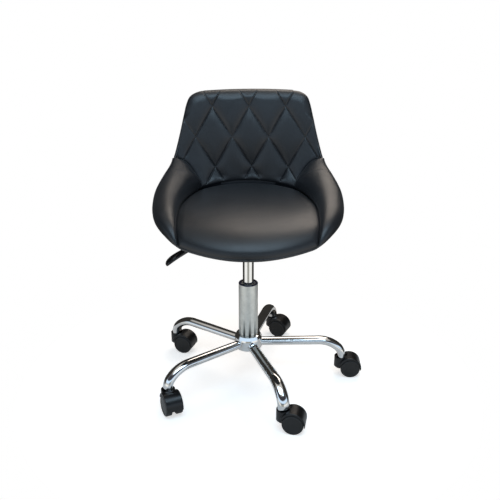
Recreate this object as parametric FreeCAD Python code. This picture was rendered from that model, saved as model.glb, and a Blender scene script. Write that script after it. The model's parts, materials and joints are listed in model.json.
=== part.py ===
import FreeCAD, Part
import math
import os

# Rolling stool with a low-back bucket seat on a five-leg base and a gas lift.
# Millimetres. X to the sitter's left-hand side as seen from the front, the seat
# faces -Y, +Z up. The origin is on the floor, on the column's axis.

Vector = FreeCAD.Vector
UP = Vector(0, 0, 1)
RUN_GAP = 0.06            # radial clearance of a part that turns or slides in another
SEAT_GAP = 0.03           # radial gap of a fixed part in its seat

# ---- base ----
FIRST_LEG_ANGLE = -142.5  # degrees about Z from +X
LEG_COUNT = 5
LEG_STEP = 360.0 / LEG_COUNT
STEM_CIRCLE_R = 249.0
LEG_AXIS_Z = 104.0
LEG_END_Z = 53.4
LEG_WALL = 1.5
LEG_ROOT_WIDTH = 26.0     # the oval tube at the hub, across
LEG_ROOT_HEIGHT = 21.0
LEG_END_WIDTH = 30.0      # the same tube after bending
LEG_END_THICK = 22.5
UPPER_BEND_R = 75.0
LOWER_BEND_R = 32.0
BEND_HALF_TURN = 45.0     # each of the two bends turns this much
HUB_R = 36.0
HUB_BOTTOM_Z = 90.5
HUB_SHOULDER_Z = 117.0
HUB_TOP_Z = 130.0
HUB_TOP_R = 25.6
LEG_ROOT_X = HUB_R - 8.0   # the tube starts here, before it is coped to the hub
SOCKET_TOP_Z = 67.0
SOCKET_RIM = 0.8

# ---- casters ----
WHEEL_R = 26.0
WHEEL_WIDTH = 15.6
WHEEL_INNER_Y = 6.2       # wheel's inner edge, from the caster's mid plane
CASTER_TRAIL = 24.5       # stem axis to wheel axle
REST_TRAIL_ANGLES = (-65.0, -12.0, -2.0, -25.0, -20.0)
FENDER_INNER_R = 27.0
FENDER_OUTER_R = 30.6
FENDER_SHIFT_BACK = 1.2   # the outer arc's centre, from the axle
FENDER_SHIFT_UP = 1.6
FENDER_TIP_ANGLE = -7.0
FENDER_FRONT_ANGLE = 158.0
BARREL_BOTTOM_Z = 23.0    # the cup carries on down in front of the wheels
HOOD_HALF_WIDTH = 21.4
WEB_HALF_WIDTH = 5.7
CUP_R = 17.5
CUP_BORE_R = 15.4
CUP_TOP_Z = 55.0
CUP_FLOOR_Z = 51.8
STEM_R = 5.5
PINTLE_R = 4.5            # the stem below its flange, in the hood
FLANGE_R = 8.0
STEM_BOTTOM_Z = 30.0
STEM_TOP_Z = 66.0
AXLE_R = 3.0

# ---- gas lift ----
TUBE_R = 25.0
TUBE_FOOT_R = 24.2
TUBE_BOTTOM_Z = 88.0
TUBE_TOP_Z = 273.0
TUBE_BORE_R = 22.8
LOWER_BORE_R = 19.6
FLUTE_COUNT = 10
FLUTE_FIRST_ANGLE = -80.0
FLUTE_TOP_Z = 186.0
FLUTE_R = 3.4
FLUTE_DEPTH = 4.0
BUSH_BOTTOM_Z = 211.0
BUSH_LIP = 1.2
LINER_R = 18.6            # the pale liner inside the guide
CYLINDER_R = 14.0
CYLINDER_BOTTOM_Z = 163.0
CYLINDER_TOP_Z = 379.0
CYLINDER_BORE_R = 12.4
TAPER_BOTTOM_Z = 345.0
TAPER_TOP_R = 13.0
ROD_R = 5.0
ROD_TOP_Z = 262.0
BUTTON_R = 4.0
BUTTON_TOP_Z = 389.0

# ---- seat plate and lever ----
PLATE_TOP_Z = 412.4
PLATE_THICK = 2.6
PLATE_LENGTH = 176.0
PLATE_WIDTH = 156.0
PAN_LENGTH = 128.0
PAN_WIDTH = 108.0
PAN_BOTTOM_Z = 371.0
BOLT_SPACING_X = 148.0
BOLT_SPACING_Y = 128.0
BOLT_R = 3.0
LEVER_ROD_R = 4.5
LEVER_AXIS_Z = 394.0
LEVER_PIVOT_X = -55.0
PIVOT_PIN_R = 2.5
GRIP_LENGTH = 76.0

# ---- bucket seat ----
COVER_THICK = 1.6
SHELL_THICK = 8.0
SKIN_GAP = 1.0            # between the layers of the seat
FOAM_GAP = 3.5            # between the shell and the foam
SEAM_GAP = 5.0            # between a bolster and the pads beside it
OUTER_FULLNESS = 3.0      # how square the outer section is; 2 is an ellipse

# Each station is one section plane of the seat, standing on the centre line:
# outer centre (y, z), inner centre (y, z), half width, height of the widest
# point, seam x, seam height, ridge height. Heights run from the outer centre.
STATIONS = (
    ((-198, 416), (-198, 443), 76, 12, 64, 23, 23),
    ((-180, 414), (-180, 461), 122, 20, 108, 41, 41),
    ((-150, 413), (-150, 475), 172, 33, 157, 42, 46),
    ((-112, 413), (-112, 484), 204, 48, 164, 60, 67),
    ((-62, 413), (-62, 487), 224, 64, 166, 69, 84),
    ((-5, 413), (-5, 487), 231, 80, 163, 71, 99),
    ((62, 414), (50, 488), 226, 101, 153, 74, 121),
    ((130, 422), (103, 492), 216, 118, 134, 75, 139),
    ((180, 451), (128, 499), 210, 121, 127, 74, 139),
    ((204, 507), (146, 533), 200, 98, 146, 68, 112),
    ((214, 573), (160, 582), 189, 50, 172, 54, 60),
    ((219, 635), (172, 638), 175, 34, 158, 46, 46),
    ((224, 690), (184, 692), 162, 28, 145, 39, 39),
    ((226, 727), (194, 729), 145, 22, 128, 31, 31),
)
CORNER_R = 26.0           # rounds the back's two top corners
CORNER_X = 128.3
CORNER_Z = 701.0
EDGE_LEAN = 24.7          # how far the back's side edges lean in, degrees
CREASE = 8                # the station on the seat-to-back crease
BOLSTER_FIRST = 2
BOLSTER_LAST = 10
CREASE_GAP = 1.0          # each pad stops this far from the crease plane
EDGE_REACH = 0.9985       # the walls end just short of their widest point
SHELL_REACH = 0.987       # the shell stops short of the cover's edge
WALL_POINTS = 25
PAD_POINTS = 13
SHELL_FLOOR_Z = STATIONS[5][0][1] + COVER_THICK + SKIN_GAP
NUT_TOP_Z = SHELL_FLOOR_Z + SHELL_THICK
NUT_R = 4.4


def cylinder(radius, z0, z1, x=0.0, y=0.0):
    return Part.makeCylinder(radius, z1 - z0, Vector(x, y, z0), UP)


def ring(outer_r, inner_r, z0, z1, x=0.0, y=0.0):
    return cylinder(outer_r, z0, z1, x, y).cut(cylinder(inner_r, z0 - 1, z1 + 1, x, y))


def box(x0, x1, y0, y1, z0, z1):
    return Part.makeBox(x1 - x0, y1 - y0, z1 - z0, Vector(x0, y0, z0))


def revolve_z(points):
    """A solid of revolution about Z from (radius, z) corners."""
    corners = [Vector(r, 0, z) for r, z in points]
    wire = Part.makePolygon(corners + [corners[0]])
    return Part.Face(wire).revolve(Vector(0, 0, 0), UP, 360)


def turned(shape, angle, centre=(0, 0, 0), axis=(0, 0, 1)):
    copy = shape.copy()
    copy.rotate(Vector(*centre), Vector(*axis), angle)
    return copy


def moved(shape, x, y, z=0.0):
    copy = shape.copy()
    copy.translate(Vector(x, y, z))
    return copy


def export(name, shape):
    os.makedirs("parts", exist_ok=True)
    shape.exportStep("parts/" + name + ".step")


def leg_angle(index):
    return FIRST_LEG_ANGLE + LEG_STEP * index


def stem_place(index):
    angle = math.radians(leg_angle(index))
    return STEM_CIRCLE_R * math.cos(angle), STEM_CIRCLE_R * math.sin(angle)


# ---------------------------------------------------------------- base

def leg_path():
    """The leg's centre line in the XZ plane: straight, two bends, a short drop."""
    half = math.radians(BEND_HALF_TURN)
    upper_dx = UPPER_BEND_R * math.sin(half)
    upper_dz = UPPER_BEND_R * (1 - math.cos(half))
    lower_dx = LOWER_BEND_R * (1 - math.sin(half))
    lower_dz = LOWER_BEND_R * math.cos(half)
    bend_x = STEM_CIRCLE_R - upper_dx - lower_dx
    middle = Vector(bend_x + upper_dx, 0, LEG_AXIS_Z - upper_dz)
    low = Vector(STEM_CIRCLE_R, 0, middle.z - lower_dz)
    quarter = half / 2
    upper_mid = Vector(
        bend_x + UPPER_BEND_R * math.sin(quarter),
        0,
        LEG_AXIS_Z - UPPER_BEND_R * (1 - math.cos(quarter)),
    )
    lower_centre = Vector(STEM_CIRCLE_R - LOWER_BEND_R, 0, low.z)
    lower_mid = lower_centre + Vector(
        LOWER_BEND_R * math.cos(quarter), 0, LOWER_BEND_R * math.sin(quarter)
    )
    start = Vector(LEG_ROOT_X, 0, LEG_AXIS_Z)
    bend_start = Vector(bend_x, 0, LEG_AXIS_Z)
    edges = [
        Part.LineSegment(start, bend_start).toShape(),
        Part.Arc(bend_start, upper_mid, middle).toShape(),
        Part.Arc(middle, lower_mid, low).toShape(),
        Part.LineSegment(low, Vector(STEM_CIRCLE_R, 0, LEG_END_Z)).toShape(),
    ]
    return Part.Wire(edges)


def oval(centre, across, normal, width, thick):
    """An ellipse of the given width along `across`."""
    long_end = centre + across * (width / 2)
    short_end = centre + normal.cross(across) * (thick / 2)
    return Part.Wire([Part.Ellipse(long_end, short_end, centre).toShape()])


def leg_sweep(shrink):
    path = leg_path()
    start = oval(
        Vector(LEG_ROOT_X, 0, LEG_AXIS_Z), Vector(0, 1, 0), Vector(1, 0, 0),
        LEG_ROOT_WIDTH - 2 * shrink, LEG_ROOT_HEIGHT - 2 * shrink,
    )
    end = oval(
        Vector(STEM_CIRCLE_R, 0, LEG_END_Z), Vector(0, 1, 0), Vector(0, 0, -1),
        LEG_END_WIDTH - 2 * shrink, LEG_END_THICK - 2 * shrink,
    )
    sweep = Part.BRepOffsetAPI.MakePipeShell(path)
    sweep.setFrenetMode(True)
    sweep.add(start, False, False)
    sweep.add(end, False, False)
    sweep.build()
    sweep.makeSolid()
    return sweep.shape()


def make_leg():
    tube = leg_sweep(0).cut(leg_sweep(LEG_WALL))
    return tube.cut(cylinder(HUB_R + SEAT_GAP, HUB_BOTTOM_Z - 20, HUB_TOP_Z + 20))


def make_hub():
    foot_bore = TUBE_FOOT_R + SEAT_GAP
    body = revolve_z((
        (foot_bore, HUB_BOTTOM_Z), (HUB_R - 2, HUB_BOTTOM_Z),
        (HUB_R, HUB_BOTTOM_Z + 2), (HUB_R, HUB_SHOULDER_Z),
        (HUB_R - 0.8, HUB_SHOULDER_Z + 4), (HUB_R - 2.6, HUB_SHOULDER_Z + 8),
        (HUB_R - 4.2, HUB_TOP_Z - 1.2), (HUB_TOP_R, HUB_TOP_Z), (foot_bore, HUB_TOP_Z),
    ))
    return body


def make_socket():
    """The plug inside a leg's end, with the stem's bore; local to leg 0's plane."""
    inside = leg_sweep(LEG_WALL + 0.1)
    keep = box(STEM_CIRCLE_R - 30, STEM_CIRCLE_R + 30, -20, 20, LEG_END_Z, SOCKET_TOP_Z)
    plug = inside.common(keep)
    flange = oval(
        Vector(STEM_CIRCLE_R, 0, LEG_END_Z - SOCKET_RIM), Vector(0, 1, 0), UP,
        LEG_END_WIDTH - 2, LEG_END_THICK - 2,
    )
    rim = Part.Face(flange).extrude(Vector(0, 0, SOCKET_RIM))
    bore = cylinder(STEM_R + SEAT_GAP, LEG_END_Z - 5, STEM_TOP_Z + 0.2, STEM_CIRCLE_R)
    return plug.fuse(rim).cut(bore).removeSplitter()


def make_stem():
    """The caster's stem: a pintle for the hood, a flange, and a grooved upper end."""
    flange_z = CUP_FLOOR_Z + 0.1
    return revolve_z((
        (0, STEM_BOTTOM_Z), (PINTLE_R - 0.6, STEM_BOTTOM_Z), (PINTLE_R, STEM_BOTTOM_Z + 0.6),
        (PINTLE_R, flange_z), (FLANGE_R, flange_z), (FLANGE_R, flange_z + 0.6),
        (STEM_R, flange_z + 0.6), (STEM_R, STEM_TOP_Z - 8), (STEM_R - 1.2, STEM_TOP_Z - 8),
        (STEM_R - 1.2, STEM_TOP_Z - 5.5), (STEM_R, STEM_TOP_Z - 5.5),
        (STEM_R, STEM_TOP_Z - 1.5), (STEM_R - 1.5, STEM_TOP_Z), (0, STEM_TOP_Z),
    ))


def make_grip_ring():
    whole = ring(STEM_R - 0.05, STEM_R - 1.15, STEM_TOP_Z - 7.9, STEM_TOP_Z - 5.6)
    return whole.cut(box(0, STEM_R + 1, -1.2, 1.2, STEM_TOP_Z - 10, STEM_TOP_Z))


def build_base():
    export("base_hub", make_hub())
    leg = make_leg()
    socket = make_socket()
    sockets = []
    stems = []
    rings = []
    for index in range(LEG_COUNT):
        export("base_leg_%d" % (index + 1), turned(leg, leg_angle(index)))
        sockets.append(turned(socket, leg_angle(index)))
        x, y = stem_place(index)
        stems.append(moved(make_stem(), x, y))
        rings.append(moved(make_grip_ring(), x, y))
    export("leg_end_sockets", Part.makeCompound(sockets))
    export("caster_stems", Part.makeCompound(stems))
    export("stem_grip_rings", Part.makeCompound(rings))


# ---------------------------------------------------------------- casters
# A caster is made at the origin with its stem on Z and its wheels trailing to +X.

def side_prism(wire_points, half_width):
    """A prism across Y from corners (x, z)."""
    corners = [Vector(x, -half_width, z) for x, z in wire_points]
    face = Part.Face(Part.makePolygon(corners + [corners[0]]))
    return face.extrude(Vector(0, 2 * half_width, 0))


def drum(radius, half_width, x, z):
    return Part.makeCylinder(radius, 2 * half_width, Vector(x, -half_width, z), Vector(0, 1, 0))


def make_hood():
    axle_x, axle_z = CASTER_TRAIL, WHEEL_R
    outer = drum(
        FENDER_OUTER_R, HOOD_HALF_WIDTH,
        axle_x - FENDER_SHIFT_BACK, axle_z + FENDER_SHIFT_UP,
    )
    # What is kept of the drum lies above a line from the front edge to the tip.
    reach = FENDER_OUTER_R + 14
    tip = math.radians(FENDER_TIP_ANGLE)
    front = math.radians(FENDER_FRONT_ANGLE)
    keep = side_prism((
        (axle_x, axle_z),
        (axle_x + reach * math.cos(tip), axle_z + reach * math.sin(tip)),
        (axle_x + reach, axle_z + 2 * reach),
        (axle_x - reach, axle_z + 2 * reach),
        (axle_x + reach * math.cos(front), axle_z + reach * math.sin(front)),
    ), HOOD_HALF_WIDTH + 5)
    fender = outer.common(keep)
    fender = fender.makeFillet(2.0, [
        e for e in fender.Edges
        if e.Curve.TypeId == "Part::GeomCircle" and e.Length > 20
    ])
    barrel = cylinder(CUP_R, BARREL_BOTTOM_Z, CUP_TOP_Z)
    barrel = barrel.makeChamfer(4.0, [barrel.Edges[2]])
    body = fender.fuse(barrel)
    wheel_space = Part.makeCompound([
        moved(drum(FENDER_INNER_R, 20, axle_x, axle_z), 0, side * (20 + WEB_HALF_WIDTH))
        for side in (-1, 1)
    ])
    body = body.cut(wheel_space)
    web = drum(WHEEL_R - 9, WEB_HALF_WIDTH, axle_x, axle_z).common(
        box(axle_x - 30, axle_x + 30, -10, 10, axle_z - 8, axle_z + 40)
    )
    bridge = drum(FENDER_INNER_R + 1, WEB_HALF_WIDTH, axle_x, axle_z).common(keep)
    body = body.fuse(web).fuse(bridge)
    body = body.cut(cylinder(CUP_BORE_R, CUP_FLOOR_Z, CUP_TOP_Z + 10))
    body = body.cut(cylinder(PINTLE_R + RUN_GAP, STEM_BOTTOM_Z - 0.5, CUP_TOP_Z))
    body = body.cut(drum(AXLE_R + SEAT_GAP, 10, axle_x, axle_z))
    return body.removeSplitter()


def revolve_y(points, x, z):
    """A solid of revolution about the axle from (radius, y) corners."""
    corners = [Vector(x + r, y, z) for r, y in points]
    wire = Part.makePolygon(corners + [corners[0]])
    return Part.Face(wire).revolve(Vector(x, 0, z), Vector(0, 1, 0), 360)


def make_wheel(side):
    """A cupped wheel: tread, closed outer face with a raised rim, and hub."""
    inner = WHEEL_INNER_Y
    outer = WHEEL_INNER_Y + WHEEL_WIDTH
    bore = AXLE_R + RUN_GAP
    profile = (
        (bore, inner + 0.4), (6.5, inner + 0.4), (6.5, outer - 4.5),
        (WHEEL_R - 4, outer - 5.5), (WHEEL_R - 4, inner), (WHEEL_R - 0.8, inner),
        (WHEEL_R, inner + 0.8), (WHEEL_R, outer - 3.0), (WHEEL_R - 0.9, outer - 0.9),
        (WHEEL_R - 2.6, outer), (WHEEL_R - 4.6, outer - 0.7), (WHEEL_R - 7, outer - 1.0),
        (0, outer - 0.2), (0, outer - 2.4), (bore, outer - 2.4),
    )
    return revolve_y([(r, side * y) for r, y in profile], CASTER_TRAIL, WHEEL_R)


def make_axle():
    half = WHEEL_INNER_Y + WHEEL_WIDTH - 2.8
    return drum(AXLE_R, half, CASTER_TRAIL, WHEEL_R)


def build_casters():
    hood = make_hood()
    axle = make_axle()
    left = make_wheel(1)
    right = make_wheel(-1)
    for index in range(LEG_COUNT):
        x, y = stem_place(index)
        angle = REST_TRAIL_ANGLES[index]
        for name, shape in (
            ("caster_hood", hood), ("caster_axle", axle),
            ("caster_wheel_left", left), ("caster_wheel_right", right),
        ):
            export("%s_%d" % (name, index + 1), moved(turned(shape, angle), x, y))


# ---------------------------------------------------------------- gas lift

def make_outer_tube():
    """The column: plain above, pressed with tapering flutes, drawn in at the foot."""
    skin = revolve_z((
        (0, TUBE_BOTTOM_Z), (TUBE_FOOT_R, TUBE_BOTTOM_Z), (TUBE_FOOT_R, HUB_TOP_Z + 0.5),
        (TUBE_FOOT_R + 1.0, HUB_TOP_Z + 2.5), (TUBE_R - 0.4, HUB_TOP_Z + 7),
        (TUBE_R, HUB_TOP_Z + 12), (TUBE_R, TUBE_TOP_Z - 0.6), (TUBE_R - 0.6, TUBE_TOP_Z),
        (0, TUBE_TOP_Z),
    ))
    length = FLUTE_TOP_Z - HUB_TOP_Z
    tilt = math.degrees(math.atan2(FLUTE_DEPTH, length))
    groove = Part.makeCylinder(
        FLUTE_R, length + 3, Vector(TUBE_R + FLUTE_R - FLUTE_DEPTH, 0, HUB_TOP_Z - 1), UP,
    )
    groove = turned(groove, tilt, (TUBE_R + FLUTE_R - FLUTE_DEPTH, 0, HUB_TOP_Z), (0, 1, 0))
    for index in range(FLUTE_COUNT):
        angle = FLUTE_FIRST_ANGLE + index * 360.0 / FLUTE_COUNT
        skin = skin.cut(turned(groove, angle))
    upper_bore = cylinder(TUBE_BORE_R, FLUTE_TOP_Z + 8, TUBE_TOP_Z + 1)
    lower_bore = cylinder(LOWER_BORE_R, TUBE_BOTTOM_Z + 4, FLUTE_TOP_Z + 9)
    rod_hole = cylinder(ROD_R + 1.5, TUBE_BOTTOM_Z - 1, TUBE_BOTTOM_Z + 5)
    return skin.cut(upper_bore).cut(lower_bore).cut(rod_hole)


def make_guide_bush():
    """The plastic guide in the column's mouth, with its flat lip on the rim."""
    outer = TUBE_BORE_R - SEAT_GAP
    inner = LINER_R + SEAT_GAP
    return revolve_z((
        (inner, BUSH_BOTTOM_Z), (outer, BUSH_BOTTOM_Z), (outer, TUBE_TOP_Z),
        (TUBE_R - 0.5, TUBE_TOP_Z), (TUBE_R - 0.9, TUBE_TOP_Z + BUSH_LIP),
        (inner + 1.0, TUBE_TOP_Z + BUSH_LIP), (inner, TUBE_TOP_Z + BUSH_LIP - 1.0),
    ))


def make_guide_liner():
    """The pale sliding liner, dished at its top, that the cylinder runs in."""
    run = CYLINDER_R + RUN_GAP
    return revolve_z((
        (run, BUSH_BOTTOM_Z + 1), (LINER_R, BUSH_BOTTOM_Z + 1), (LINER_R, TUBE_TOP_Z - 0.2),
        (LINER_R - 0.8, TUBE_TOP_Z - 0.2), (run, TUBE_TOP_Z - 2.4),
    ))


def make_gas_cylinder():
    """The sliding chrome cylinder: bored for the piston, tapered at its top."""
    skin = revolve_z((
        (0, CYLINDER_BOTTOM_Z), (CYLINDER_R - 0.8, CYLINDER_BOTTOM_Z),
        (CYLINDER_R, CYLINDER_BOTTOM_Z + 0.8), (CYLINDER_R, TAPER_BOTTOM_Z),
        (TAPER_TOP_R, CYLINDER_TOP_Z), (0, CYLINDER_TOP_Z),
    ))
    cavity = cylinder(CYLINDER_BORE_R, CYLINDER_BOTTOM_Z + 12, CYLINDER_TOP_Z - 26)
    seal_hole = cylinder(ROD_R + RUN_GAP, CYLINDER_BOTTOM_Z - 1, CYLINDER_BOTTOM_Z + 13)
    button_hole = cylinder(BUTTON_R + RUN_GAP, CYLINDER_TOP_Z - 27, CYLINDER_TOP_Z + 1)
    return skin.cut(cavity).cut(seal_hole).cut(button_hole)


def build_gas_lift():
    floor_z = TUBE_BOTTOM_Z + 4
    export("outer_tube", make_outer_tube())
    export("guide_bush", make_guide_bush())
    export("guide_liner", make_guide_liner())
    export("bearing_lower_race", ring(15.0, 7.5, floor_z, floor_z + 2))
    cage = ring(14.0, 7.6, floor_z + 3.3, floor_z + 4.7)
    balls = []
    for index in range(12):
        angle = math.radians(30.0 * index)
        place = Vector(10.8 * math.cos(angle), 10.8 * math.sin(angle), floor_z + 4)
        balls.append(Part.makeSphere(1.98, place))
        cage = cage.cut(Part.makeSphere(2.08, place))
    export("bearing_cage", cage)
    export("bearing_balls", Part.makeCompound(balls))
    export("bearing_upper_race", ring(15.0, ROD_R + 0.02, floor_z + 6, floor_z + 8))
    export("rod_bumper", ring(14.5, ROD_R + 0.02, floor_z + 8.1, floor_z + 16))
    clip_z = TUBE_BOTTOM_Z - 3.0
    rod = cylinder(ROD_R, clip_z - 3, ROD_TOP_Z)
    groove = ring(ROD_R + 1, ROD_R - 1, clip_z, clip_z + 1.2)
    export("piston_rod", rod.cut(groove))
    washer = ring(9.5, ROD_R + 0.02, clip_z + 1.25, TUBE_BOTTOM_Z - 0.1)
    export("rod_washer", washer)
    clip = ring(8.5, ROD_R - 0.95, clip_z + 0.05, clip_z + 1.15)
    export("retaining_clip", clip.cut(box(0, 12, -3, 3, clip_z - 1, clip_z + 3)))
    piston = ring(CYLINDER_BORE_R - RUN_GAP, ROD_R + 0.02, ROD_TOP_Z - 16, ROD_TOP_Z - 2)
    groove = ring(CYLINDER_BORE_R + 1, CYLINDER_BORE_R - 2, ROD_TOP_Z - 11, ROD_TOP_Z - 7)
    export("piston", piston.cut(groove))
    seal = ring(
        CYLINDER_BORE_R - RUN_GAP, CYLINDER_BORE_R - 1.95, ROD_TOP_Z - 10.9, ROD_TOP_Z - 7.1,
    )
    export("piston_seal", seal)
    export("gas_cylinder", make_gas_cylinder())
    button = cylinder(BUTTON_R, CYLINDER_TOP_Z - 14, BUTTON_TOP_Z)
    export("release_button", button.makeFillet(1.0, [button.Edges[0]]))


# ---------------------------------------------------------------- seat plate and lever

def make_seat_plate():
    """A pressed plate: a flange under the seat and a pan around the lever."""
    flange_bottom = PLATE_TOP_Z - PLATE_THICK
    flange = box(
        -PLATE_LENGTH / 2, PLATE_LENGTH / 2, -PLATE_WIDTH / 2, PLATE_WIDTH / 2,
        flange_bottom, PLATE_TOP_Z,
    )
    flange = flange.makeFillet(18, [e for e in flange.Edges if abs(e.tangentAt(0).z) > 0.9])
    outside = box(
        -PAN_LENGTH / 2, PAN_LENGTH / 2, -PAN_WIDTH / 2, PAN_WIDTH / 2,
        PAN_BOTTOM_Z, flange_bottom + 0.5,
    )
    outside = outside.makeFillet(12, [e for e in outside.Edges if abs(e.tangentAt(0).z) > 0.9])
    inside = box(
        -PAN_LENGTH / 2 + PLATE_THICK, PAN_LENGTH / 2 - PLATE_THICK,
        -PAN_WIDTH / 2 + PLATE_THICK, PAN_WIDTH / 2 - PLATE_THICK,
        PAN_BOTTOM_Z + PLATE_THICK, PLATE_TOP_Z + 1,
    )
    inside = inside.makeFillet(10, [e for e in inside.Edges if abs(e.tangentAt(0).z) > 0.9])
    plate = flange.fuse(outside).cut(inside)
    plate = plate.cut(cylinder(17.0, PAN_BOTTOM_Z - 1, PAN_BOTTOM_Z + 5))
    slot = box(-PAN_LENGTH / 2 - 2, -PAN_LENGTH / 2 + 6, -8, 8, LEVER_AXIS_Z - 9, LEVER_AXIS_Z + 8)
    plate = plate.cut(slot)
    for x, y in bolt_places():
        plate = plate.cut(cylinder(BOLT_R + 0.4, PAN_BOTTOM_Z, PLATE_TOP_Z + 1, x, y))
    return plate.removeSplitter()


def bolt_places():
    return [
        (sx * BOLT_SPACING_X / 2, sy * BOLT_SPACING_Y / 2)
        for sx in (-1, 1)
        for sy in (-1, 1)
    ]


def make_taper_socket():
    rate = (CYLINDER_R - TAPER_TOP_R) / (CYLINDER_TOP_Z - TAPER_BOTTOM_Z)
    bottom_z = TAPER_BOTTOM_Z + 1.5
    top_z = CYLINDER_TOP_Z - 3.5
    bottom_r = CYLINDER_R - rate * (bottom_z - TAPER_BOTTOM_Z) + SEAT_GAP
    top_r = CYLINDER_R - rate * (top_z - TAPER_BOTTOM_Z) + SEAT_GAP
    return revolve_z((
        (bottom_r, bottom_z), (19.0, bottom_z), (20.0, bottom_z + 1),
        (20.0, PAN_BOTTOM_Z - 0.1), (16.9, PAN_BOTTOM_Z - 0.1), (16.9, top_z), (top_r, top_z),
    ))


def lever_line():
    """The lever rod's corner points, from over the button to inside the grip."""
    return (
        Vector(7, 0, LEVER_AXIS_Z), Vector(-84, 0, LEVER_AXIS_Z),
        Vector(-132, -14, LEVER_AXIS_Z - 13), Vector(-172, -29, LEVER_AXIS_Z - 33),
    )


def rounded_path(points, radius):
    """Straight runs joined by tangent arcs of one radius."""
    edges = []
    start = points[0]
    for before, corner, after in zip(points, points[1:], points[2:]):
        back = (before - corner).normalize()
        ahead = (after - corner).normalize()
        half_angle = back.getAngle(ahead) / 2
        reach = radius / math.tan(half_angle)
        first = corner + back * reach
        last = corner + ahead * reach
        bisector = (back + ahead).normalize()
        middle = corner + bisector * (radius / math.sin(half_angle) - radius)
        edges.append(Part.LineSegment(start, first).toShape())
        edges.append(Part.Arc(first, middle, last).toShape())
        start = last
    edges.append(Part.LineSegment(start, points[-1]).toShape())
    return Part.Wire(edges)


def make_lever_rod():
    points = lever_line()
    path = rounded_path(points, 24.0)
    circle = Part.Circle(points[0], (points[1] - points[0]), LEVER_ROD_R)
    rod = path.makePipeShell([Part.Wire([circle.toShape()])], True, False)
    pin_hole = Part.makeCylinder(
        PIVOT_PIN_R + RUN_GAP, 40, Vector(LEVER_PIVOT_X, -20, LEVER_AXIS_Z), Vector(0, 1, 0),
    )
    return rod.cut(pin_hole)


def grip_frame():
    """Where the grip starts, and its lengthwise direction."""
    points = lever_line()
    along = (points[3] - points[2]).normalize()
    return points[2] + along * 10, along


def make_lever_grip():
    """A paddle lofted along the rod's end: thin neck, wide blade, drooping tip."""
    start, along = grip_frame()
    side = along.cross(UP).normalize()
    top = side.cross(along).normalize()
    sections = (
        (0.0, 6.9, 6.6, 0.0), (0.18, 8.0, 6.9, 0.0), (0.42, 11.0, 6.8, 0.4),
        (0.70, 13.0, 6.4, -0.4), (0.88, 11.5, 5.6, -3.0), (0.97, 8.0, 3.8, -5.6),
        (1.0, 4.0, 1.8, -7.0),
    )
    wires = []
    for share, half_width, half_thick, lift in sections:
        centre = start + along * (GRIP_LENGTH * share) + top * lift
        curve = Part.Ellipse(centre + side * half_width, centre + top * half_thick, centre)
        wires.append(Part.Wire([curve.toShape()]))
    grip = Part.makeLoft(wires, True, False)
    hole_length = (lever_line()[3] - start).Length + 0.3
    hole = Part.makeCylinder(LEVER_ROD_R + SEAT_GAP, hole_length + 2, start - along * 2, along)
    return grip.cut(hole)


def make_lever_bracket():
    """Two ears on the pan's floor that carry the pivot pin."""
    floor_z = PAN_BOTTOM_Z + PLATE_THICK
    ears = []
    for y0, y1 in ((-9.0, -6.5), (6.5, 9.0)):
        ear = box(LEVER_PIVOT_X - 6, LEVER_PIVOT_X + 7, y0, y1, floor_z, LEVER_AXIS_Z + 6)
        ears.append(ear)
    foot = box(LEVER_PIVOT_X - 6, LEVER_PIVOT_X + 7, -9.0, 9.0, floor_z, floor_z + 2)
    bracket = foot.fuse(ears[0]).fuse(ears[1]).removeSplitter()
    return bracket.cut(Part.makeCylinder(
        PIVOT_PIN_R + SEAT_GAP, 40, Vector(LEVER_PIVOT_X, -20, LEVER_AXIS_Z), Vector(0, 1, 0),
    ))


def build_plate_and_lever():
    export("seat_plate", make_seat_plate())
    export("taper_socket", make_taper_socket())
    export("lever_rod", make_lever_rod())
    export("lever_grip", make_lever_grip())
    export("lever_bracket", make_lever_bracket())
    pin = Part.makeCylinder(
        PIVOT_PIN_R, 20, Vector(LEVER_PIVOT_X, -10, LEVER_AXIS_Z), Vector(0, 1, 0),
    )
    export("lever_pivot_pin", pin)
    bolts = []
    washers = []
    nuts = []
    flange_bottom = PLATE_TOP_Z - PLATE_THICK
    for x, y in bolt_places():
        shank = cylinder(BOLT_R, flange_bottom - 1.3, NUT_TOP_Z - 1, x, y)
        head = cylinder(5.5, flange_bottom - 5.3, flange_bottom - 1.3, x, y)
        socket = Part.Face(Part.makePolygon([
            Vector(
                x + 2.9 * math.cos(math.radians(60 * k)),
                y + 2.9 * math.sin(math.radians(60 * k)),
                flange_bottom - 5.4,
            )
            for k in range(7)
        ])).extrude(Vector(0, 0, 2.6))
        bolts.append(shank.fuse(head).cut(socket).removeSplitter())
        washers.append(ring(7.5, BOLT_R + 0.2, flange_bottom - 1.25, flange_bottom - 0.02, x, y))
        nuts.append(ring(NUT_R, BOLT_R + 0.03, SHELL_FLOOR_Z + 0.4, NUT_TOP_Z, x, y))
    export("plate_bolts", Part.makeCompound(bolts))
    export("bolt_washers", Part.makeCompound(washers))
    export("shell_nuts", Part.makeCompound(nuts))


# ---------------------------------------------------------------- bucket seat

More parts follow.
